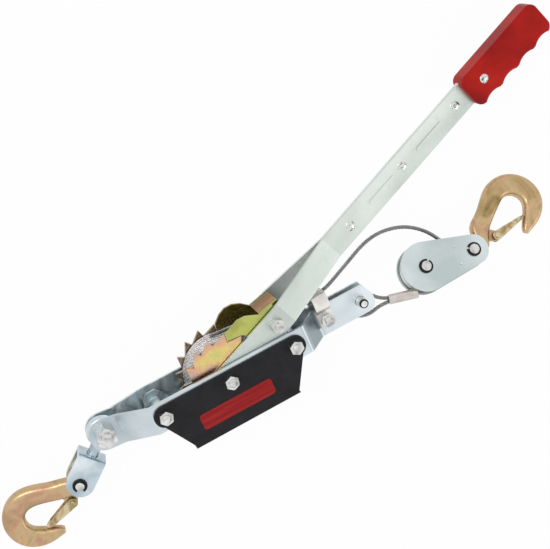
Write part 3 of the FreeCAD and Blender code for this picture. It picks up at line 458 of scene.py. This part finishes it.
materials = {
    "latch_zinc": chromate("latch_zinc", LATCH_TONES, 60, 0.28),
    "rear_chromate": chromate("rear_chromate", REAR_WHEEL_TONES, 40, 0.28),
    "hook_chromate": chromate("hook_chromate", HOOK_TONES, 38, 0.34, 0.9),
    "wire_cable": wire_steel("wire_cable", tint(116, 116, 116), tint(172, 172, 172)),
    # the wound cable: the same wire made lighter, with near-white stops as painted highlights
    "wound_wire_lit": wire_steel("wound_wire_lit", tint(176, 172, 172), tint(244, 242, 240)),
}
for finish, (*tones_and_scale, differing) in ZINCS.items():
    materials[finish] = zinc(finish, *tones_and_scale, **differing)
for finish, make in SINGLE_FINISHES.items():
    materials[finish] = make(finish)

# nodes whose finish isn't the one that their slot names
NODE_FINISHES = {
    "drive_pawl": "pawl_chromate",
    "holding_pawl": "inner_lit_zinc",
    "frame_spacers": "inner_lit_zinc",
    "rear_side_plate": "inner_lit_zinc",
    "rear_ratchet_wheel": "rear_chromate",
    "rear_handle_strap": "rear_strap_lit_zinc",
    "stop_bracket": "bracket_zinc",
    "handle_rivets": "rivet_chrome",
    "grip_fastener": "rivet_chrome",
}
for part in frame["record"]["subparts"]:
    mesh = frame["nodes"][part["node"]].data
    mesh.materials.clear()
    mesh.materials.append(materials[NODE_FINISHES.get(part["node"], part["material_slot"])])


# ---------------------------------------------------------------------------
# cables
# ---------------------------------------------------------------------------
CURVE_STEPS = 24  # between two points of a route


def nurbs_route(name, points):
    curve = bpy.data.curves.new(name, "CURVE")
    curve.dimensions = "3D"
    spline = curve.splines.new("NURBS")
    spline.points.add(len(points) - 1)
    for point, place in zip(spline.points, points):
        point.co = tuple(place) + (1,)
    spline.order_u = 3
    spline.use_endpoint_u = True
    spline.resolution_u = CURVE_STEPS
    curve.resolution_u = CURVE_STEPS
    item = bpy.data.objects.new(name, curve)
    bpy.context.scene.collection.objects.link(item)
    return item


def followed(item):
    """The points of a curve's own line."""
    bpy.context.view_layer.update()
    mesh = bpy.data.meshes.new_from_object(item)
    points = [v.co.copy() for v in mesh.vertices]
    bpy.data.meshes.remove(mesh)
    return points


ROUNDING = 1e-12


def even_steps(points, step):
    """The same line in steps of one length, near the one asked for."""
    total = sum((b - a).length for a, b in zip(points, points[1:]))
    count = max(2, round(total / step))
    spaced, travelled, target = [points[0]], 0.0, total / count
    for a, b in zip(points, points[1:]):
        length = (b - a).length
        while len(spaced) < count and travelled + length >= target * len(spaced) - ROUNDING:
            spaced.append(a.lerp(b, (target * len(spaced) - travelled) / length))
        travelled += length
    spaced.append(points[-1])
    return spaced


def carried_frames(points):
    """Two directions across the line at each point, turning as little as they can."""
    frames = []
    tangent = (points[1] - points[0]).normalized()
    side = tangent.orthogonal().normalized()
    for i in range(len(points)):
        a, b = points[max(i - 1, 0)], points[min(i + 1, len(points) - 1)]
        tangent = (b - a).normalized()
        side = (side - tangent * side.dot(tangent)).normalized()
        frames.append((side.copy(), tangent.cross(side)))
    return frames


def tube_along(vertices, faces, points, radius, sides):
    """Adds a closed tube round a line to the lists of a mesh."""
    first = len(vertices)
    for point, (side, over) in zip(points, carried_frames(points)):
        for k in range(sides):
            angle = math.tau * k / sides
            vertices.append(point + (side * math.cos(angle) + over * math.sin(angle)) * radius)
    for i in range(len(points) - 1):
        for k in range(sides):
            a = first + i * sides + k
            b = first + i * sides + (k + 1) % sides
            faces.append((a, b, b + sides, a + sides))
    faces.append(tuple(first + k for k in reversed(range(sides))))
    last = first + (len(points) - 1) * sides
    faces.append(tuple(last + k for k in range(sides)))


STRANDS = 6
STRAND_SIDES, CORE_SIDES = 7, 6
LAY_LENGTH = 0.024  # of one turn of a strand
LAY_STEP = 0.0016
CORE_SHARE = 0.5  # of the cable's radius


def stranded(name, points, radius, wire):
    """Six strands laid round the line, and a thin core between them."""
    line = even_steps(points, LAY_STEP)
    frames = carried_frames(line)
    strand_radius = radius / 3.0
    ring = radius - strand_radius
    step = (line[1] - line[0]).length
    vertices, faces = [], []
    for n in range(STRANDS):
        twisted = []
        for i, (point, (side, over)) in enumerate(zip(line, frames)):
            angle = math.tau * (n / STRANDS + i * step / LAY_LENGTH)
            twisted.append(point + (side * math.cos(angle) + over * math.sin(angle)) * ring)
        tube_along(vertices, faces, twisted, strand_radius, STRAND_SIDES)
    tube_along(vertices, faces, line, radius * CORE_SHARE, CORE_SIDES)
    mesh = bpy.data.meshes.new(name)
    mesh.from_pydata([tuple(v) for v in vertices], [], faces)
    for polygon in mesh.polygons:
        polygon.use_smooth = True
    mesh.materials.append(materials[wire])
    item = bpy.data.objects.new(name, mesh)
    bpy.context.scene.collection.objects.link(item)
    return item


def world_point(x, y, h):
    return Vector((x, y, h + MID))


# the same points as the part's own route, in metres from the drum's middle
CABLE_ROUTE = [
    (0.0038, 0.0406, 0.0),
    (0.0620, 0.0352, 0.0),
    (0.1195, 0.0224, 0.0),
    (0.1570, 0.0375, -0.0025),
    (0.1950, 0.0520, -0.0070),
    (0.2290, 0.0460, -0.0105),
    (0.2552, 0.0261, -0.0168),
    (0.2679, 0.0044, -0.0065),
    (0.2661, -0.0132, 0.0029),
    (0.2521, -0.0248, 0.0101),
    (0.2356, -0.0261, 0.0122),
    (0.2247, -0.0230, 0.0135),
    (0.2151, -0.0211, 0.0113),
]
EYE_ROUTE = [
    (0.1858, -0.0131, 0.0045),
    (0.1765, -0.0098, 0.0022),
    (0.1665, 0.0045, 0.0004),
    (0.1545, 0.0115, 0.0),
    (0.1440, 0.0050, 0.0),
    (0.1430, -0.0080, 0.0),
    (0.1505, -0.0180, 0.0),
    (0.1630, -0.0210, 0.0004),
    (0.1748, -0.0170, 0.0021),
    (0.1850, -0.0171, 0.0045),
]


def add_cable(name, node, route, slack=None):
    """A free cable attached to the frame, or, where places of slack are given, baked in place and left
    unattached.
    """
    guide = nurbs_route(name + "_guide", [world_point(*p) for p in route])
    line = followed(guide)
    bpy.data.objects.remove(guide)
    cable = stranded(name, line, CABLE_RADIUS, "wire_cable")
    if slack:
        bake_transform(cable)
    else:
        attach(cable, "frame")
    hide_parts(node)


# two places, beside the ferrule and at the crest of the cable's upper run; giving them leaves the free cable
# baked in place and unattached
SLACK = ((0.2165, -0.0208, 0), (0.2263, -0.0176, 0))
add_cable("free_cable", "cable", CABLE_ROUTE, SLACK)
add_cable("eye_cable", "cable_eye", EYE_ROUTE)


WOUND_LAYERS = 2
STEPS_A_TURN = 72
LAYER_SPACING = 1.75 * CABLE_RADIUS  # a layer lies in the grooves of the one below
WOUND_INSET = 0.00035  # room for the wander below
WANDERS = ((0.00022, 0.37, 1), (0.00015, 1.13, 0))  # depth, waves a turn, and whether layers differ


def add_wound_cable():
    """Two layers of turns between the ratchet wheels, laid a diameter apart."""
    low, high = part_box("cable_on_drum")
    outer = (high[0] - low[0]) / 2 - CABLE_RADIUS
    bottom, top = low[2] + CABLE_RADIUS, high[2] - CABLE_RADIUS
    turns = int((top - bottom) / (2 * CABLE_RADIUS))
    pitch = (top - bottom) / turns
    for layer in range(WOUND_LAYERS):
        radius = outer - layer * LAYER_SPACING
        wound = turns - layer
        start = bottom + layer * pitch / 2
        points = []
        for i in range(wound * STEPS_A_TURN + 1):
            angle = math.tau * i / STEPS_A_TURN
            wander = sum(deep * math.sin(angle * waves + layer * own) for deep, waves, own in WANDERS)
            reach = radius + wander - WOUND_INSET
            height = start + pitch * i / STEPS_A_TURN
            points.append(Vector((reach * math.cos(angle), reach * math.sin(angle), height)))
        piece = stranded("wound_cable_%d" % (layer + 1), points, CABLE_RADIUS, "wound_wire_lit")
        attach(piece, "drum")
    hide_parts("cable_on_drum")


add_wound_cable()


# ---------------------------------------------------------------------------
# floor, backdrop and light
# ---------------------------------------------------------------------------
def seen_as_background(tree):
    """1 for rays from the camera, from gloss and through glass."""
    path = tree.nodes.new("ShaderNodeLightPath")
    total = path.outputs["Is Camera Ray"]
    for name in ("Is Glossy Ray", "Is Transmission Ray"):
        add = tree.nodes.new("ShaderNodeMath")
        add.operation = "MAXIMUM"
        tree.links.new(total, add.inputs[0])
        tree.links.new(path.outputs[name], add.inputs[1])
        total = add.outputs[0]
    return total


FLOOR_HALF = 6.0
FLOOR_GREY = 0.85
FLOOR_GLOW = 0.97  # the rest shows the object's shadow
WORLD_LIGHT = 0.62  # on the object; the camera sees 1, which is white


def add_floor():
    size = FLOOR_HALF
    mesh = bpy.data.meshes.new("floor")
    corners = [(-size, -size, 0), (size, -size, 0), (size, size, 0), (-size, size, 0)]
    mesh.from_pydata(corners, [], [(0, 1, 2, 3)])
    floor = bpy.data.objects.new("floor", mesh)
    bpy.context.scene.collection.objects.link(floor)
    material = bpy.data.materials.new("floor")
    material.use_nodes = True
    tree = material.node_tree
    tree.nodes.clear()
    diffuse = tree.nodes.new("ShaderNodeBsdfDiffuse")
    diffuse.inputs["Color"].default_value = (FLOOR_GREY, FLOOR_GREY, FLOOR_GREY, 1)
    glow = tree.nodes.new("ShaderNodeEmission")
    share = tree.nodes.new("ShaderNodeMath")
    share.operation = "MULTIPLY"
    share.inputs[1].default_value = FLOOR_GLOW
    tree.links.new(seen_as_background(tree), share.inputs[0])
    mix = tree.nodes.new("ShaderNodeMixShader")
    tree.links.new(share.outputs[0], mix.inputs[0])
    tree.links.new(diffuse.outputs[0], mix.inputs[1])
    tree.links.new(glow.outputs[0], mix.inputs[2])
    output = tree.nodes.new("ShaderNodeOutputMaterial")
    tree.links.new(mix.outputs[0], output.inputs[0])
    mesh.materials.append(material)


def add_world():
    world = bpy.data.worlds.new("world")
    bpy.context.scene.world = world
    world.use_nodes = True
    tree = world.node_tree
    shader = tree.nodes["Background"]
    level = tree.nodes.new("ShaderNodeMapRange")
    level.inputs["To Min"].default_value = WORLD_LIGHT
    level.inputs["To Max"].default_value = 1.0
    tree.links.new(seen_as_background(tree), level.inputs["Value"])
    tree.links.new(level.outputs["Result"], shader.inputs["Strength"])
    shader.inputs["Color"].default_value = (1, 1, 1, 1)


def add_lamp(name, place, aim, size, power):
    data = bpy.data.lights.new(name, "AREA")
    data.shape = "RECTANGLE"
    data.size, data.size_y = size
    data.energy = power
    lamp = bpy.data.objects.new(name, data)
    lamp.location = place
    lamp.rotation_euler = (Vector(aim) - Vector(place)).to_track_quat("-Z", "Y").to_euler()
    bpy.context.scene.collection.objects.link(lamp)


add_floor()
add_world()
add_lamp("key", (-0.9, 1.1, 1.5), (0.05, 0.0, 0.0), (0.9, 0.6), 9)
add_lamp("fill", (1.3, -0.9, 1.2), (0.1, 0.0, 0.0), (1.2, 0.8), 4)

bpy.context.scene.view_settings.view_transform = "Standard"
